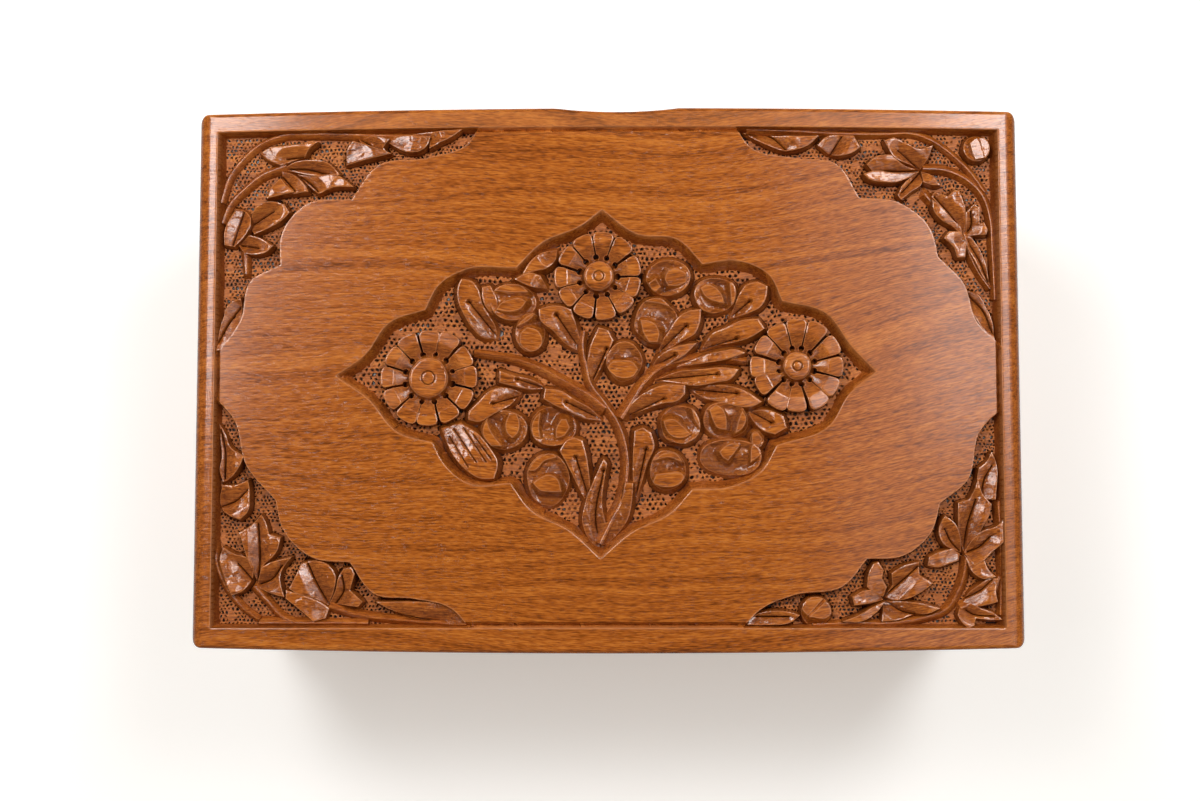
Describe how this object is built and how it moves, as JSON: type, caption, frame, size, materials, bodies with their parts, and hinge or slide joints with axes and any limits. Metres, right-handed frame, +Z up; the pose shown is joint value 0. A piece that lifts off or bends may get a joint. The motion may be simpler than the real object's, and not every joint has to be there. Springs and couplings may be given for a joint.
{
  "type": "keepsake box",
  "caption": "Low rectangular wooden box with a hinged lid, its top carved with a flower medallion and leafy corners inside a plain rim.",
  "frame": {"origin": "on the resting surface, under the middle of the box", "axes": "+X along the box's length, -Y towards the opening side, +Y towards the hinges, +Z up"},
  "size_m": [0.254, 0.1684, 0.1],
  "materials": {
    "walnut": "reddish brown walnut, oiled and waxed to a low sheen",
    "brass": "drawn brass, lightly dulled",
    "steel": "zinc plated wood screws",
    "felt": "dark green wool felt, glued on",
    "velvet": "wine red velvet over a thin pad"
  },
  "bodies": {
    "box": {"base_board": "walnut", "base_felt": "felt", "base_screws": "steel", "floor_lining": "velvet", "front_wall": "walnut", "rear_wall": "walnut", "left_wall": "walnut", "right_wall": "walnut", "hinge_left_box_leaf": "brass", "hinge_left_pin": "brass", "hinge_right_box_leaf": "brass", "hinge_right_pin": "brass", "hinge_box_screws": "brass"},
    "lid": {"lid_panel": "walnut", "lid_front_rail": "walnut", "lid_rear_rail": "walnut", "lid_left_rail": "walnut", "lid_right_rail": "walnut", "hinge_left_lid_leaf": "brass", "hinge_right_lid_leaf": "brass", "hinge_lid_screws": "brass"}
  },
  "joints": [
    {"name": "lid_hinge", "type": "hinge", "parent": "box", "child": "lid", "pos_m": [0, 0.077, 0.071], "axis": [-1, 0, 0], "range_deg": [0, 100]}
  ]
}
